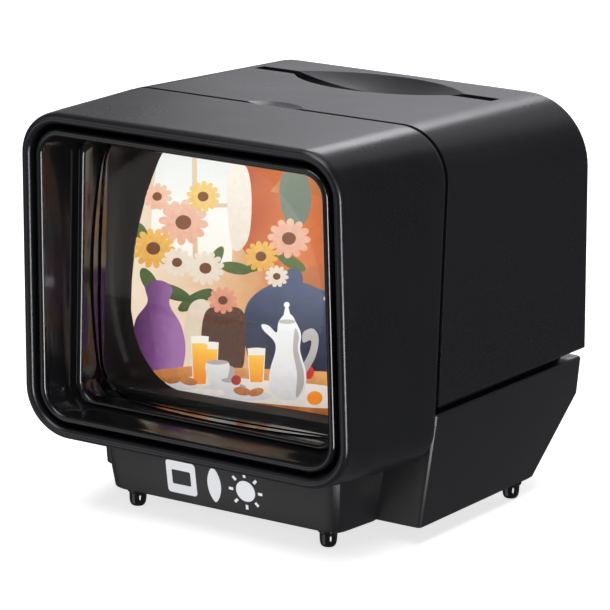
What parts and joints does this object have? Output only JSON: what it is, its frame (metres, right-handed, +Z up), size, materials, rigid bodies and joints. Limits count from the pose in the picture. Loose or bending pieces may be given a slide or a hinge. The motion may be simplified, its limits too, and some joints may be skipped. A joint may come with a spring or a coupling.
{
  "type": "slide viewer",
  "caption": "Desktop viewer for mounted 50 mm slides: hooded magnifier in front, lit slide gate with a top slot behind, cell-powered base on small feet.",
  "frame": {"origin": "centre of the footprint box, on the plane the four feet stand on", "axes": "+X to the right as seen by the person looking in, +Y from the viewing window towards the back, +Z up"},
  "size_m": [0.0794, 0.0868, 0.0786],
  "materials": {
    "housing_black": "satin moulded ABS, near black",
    "gloss_black": "polished moulded ABS, near black",
    "inner_black": "matt, stops stray light",
    "clear_acrylic": "clear moulded acrylic",
    "steel": "bright zinc-plated steel",
    "nickel": "nickel-plated spring steel",
    "opal_white": "opal acrylic",
    "reflector_white": "white moulded ABS",
    "board_green": "solder-masked board",
    "led_lamp": "clear epoxy over yellow phosphor",
    "component_black": "chip resistor",
    "cell_jacket": "printed sleeve on a steel can",
    "insulator": "natural nylon",
    "wire_red": "PVC insulation",
    "wire_black": "PVC insulation",
    "mount_white": "white moulded slide mount",
    "film": "developed reversal film"
  },
  "bodies": {
    "housing": {"front_hood": "housing_black", "lens_bezel": "gloss_black", "magnifier_lens": "clear_acrylic", "lens_retainer": "inner_black", "retainer_screw_bl": "steel", "retainer_screw_br": "steel", "retainer_screw_tl": "steel", "retainer_screw_tr": "steel", "image_tunnel": "inner_black", "gate_frame": "inner_black", "lift_spring_left": "steel", "lift_spring_right": "steel", "diffuser_plate": "opal_white", "reflector_box": "reflector_white", "led_board": "board_green", "led_left": "led_lamp", "led_right": "led_lamp", "resistor": "component_black", "board_screw_left": "steel", "board_screw_right": "steel", "rear_shell": "housing_black", "base_tub": "housing_black", "cell_front": "cell_jacket", "cell_rear": "cell_jacket", "contact_positive": "nickel", "contact_negative": "nickel", "bridge_contact": "nickel", "negative_spring": "steel", "bridge_spring": "steel", "switch_block": "insulator", "switch_contact": "nickel", "wire_red": "wire_red", "wire_black": "wire_black", "wire_contact": "wire_black", "foot_front_left": "gloss_black", "foot_front_right": "gloss_black", "foot_rear_left": "gloss_black", "foot_rear_right": "gloss_black", "hood_screw_left": "steel", "hood_screw_right": "steel", "shell_screw_left": "steel", "shell_screw_right": "steel"},
    "carriage": {"slide_carriage": "inner_black"},
    "slide": {"slide_mount": "mount_white", "slide_film": "film"},
    "leaf": {"switch_leaf": "nickel"},
    "battery_door": {"battery_cover": "housing_black"}
  },
  "joints": [
    {"name": "slide_press", "type": "slide", "parent": "housing", "child": "carriage", "axis": [0, 0, -1], "range_m": [0, 0.003], "stiffness_N_per_m": 150, "springref_m": -0.004, "deforming": ["lift_spring_left", "lift_spring_right"]},
    {"name": "slide_lift", "type": "slide", "parent": "carriage", "child": "slide", "axis": [0, 0, 1], "range_m": [0, 0.05]},
    {"name": "leaf_flex", "type": "hinge", "parent": "housing", "child": "leaf", "pos_m": [0.019, 0.03087, 0.0168], "axis": [0, -1, 0], "range_deg": [0, 11]},
    {"name": "battery_cover_slide", "type": "slide", "parent": "housing", "child": "battery_door", "axis": [0, 1, 0], "range_m": [0, 0.042]}
  ],
  "couplings": [
    {"joint": "leaf_flex", "follows": "slide_press", "rad_per_m": 63}
  ]
}
